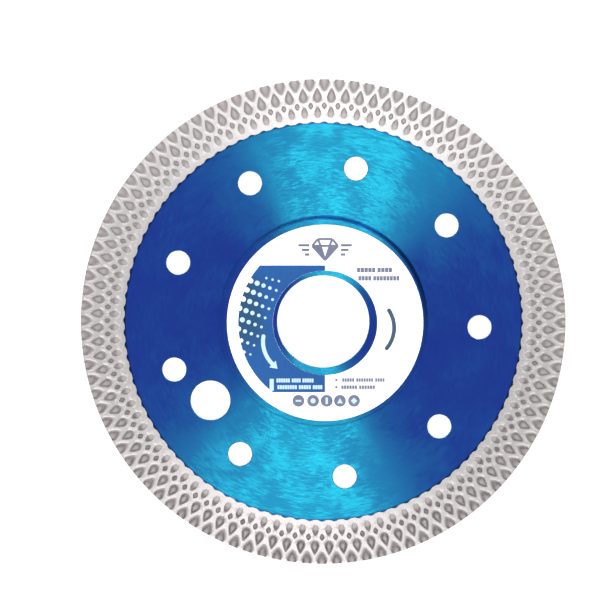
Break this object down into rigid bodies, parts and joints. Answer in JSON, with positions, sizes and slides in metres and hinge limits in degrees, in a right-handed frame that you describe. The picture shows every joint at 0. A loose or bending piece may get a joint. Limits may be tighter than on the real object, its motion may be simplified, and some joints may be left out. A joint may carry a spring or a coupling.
{
  "type": "diamond blade",
  "caption": "Continuous-rim mesh turbo diamond cutting blade: flat steel disc with a bore, reinforcing flanges, a ring of holes and a sintered rim with a raised lattice.",
  "frame": {"origin": "centre of the bore, halfway through the steel core", "axes": "+Z along the spin axis, out of the label side; +X to the right and +Y up when the label is seen face on"},
  "size_m": [0.105, 0.105, 0.0021],
  "materials": {
    "core": "circumferentially brushed steel under a transparent blue lacquer, with cyan highlights",
    "rim": "sintered metal and diamond grit, silver ribs with duller grey-brown pockets",
    "flange": "the same blue lacquer as the core",
    "weld": "bare resistance-weld metal, hidden between the flanges",
    "label": null
  },
  "bodies": {
    "root": {"steel_core": "core", "diamond_rim": "rim", "flange_front": "flange", "flange_back": "flange", "weld_nugget_1": "weld", "weld_nugget_2": "weld", "weld_nugget_3": "weld", "weld_nugget_4": "weld", "weld_nugget_5": "weld", "weld_nugget_6": "weld", "label_front": "label"}
  },
  "joints": []
}
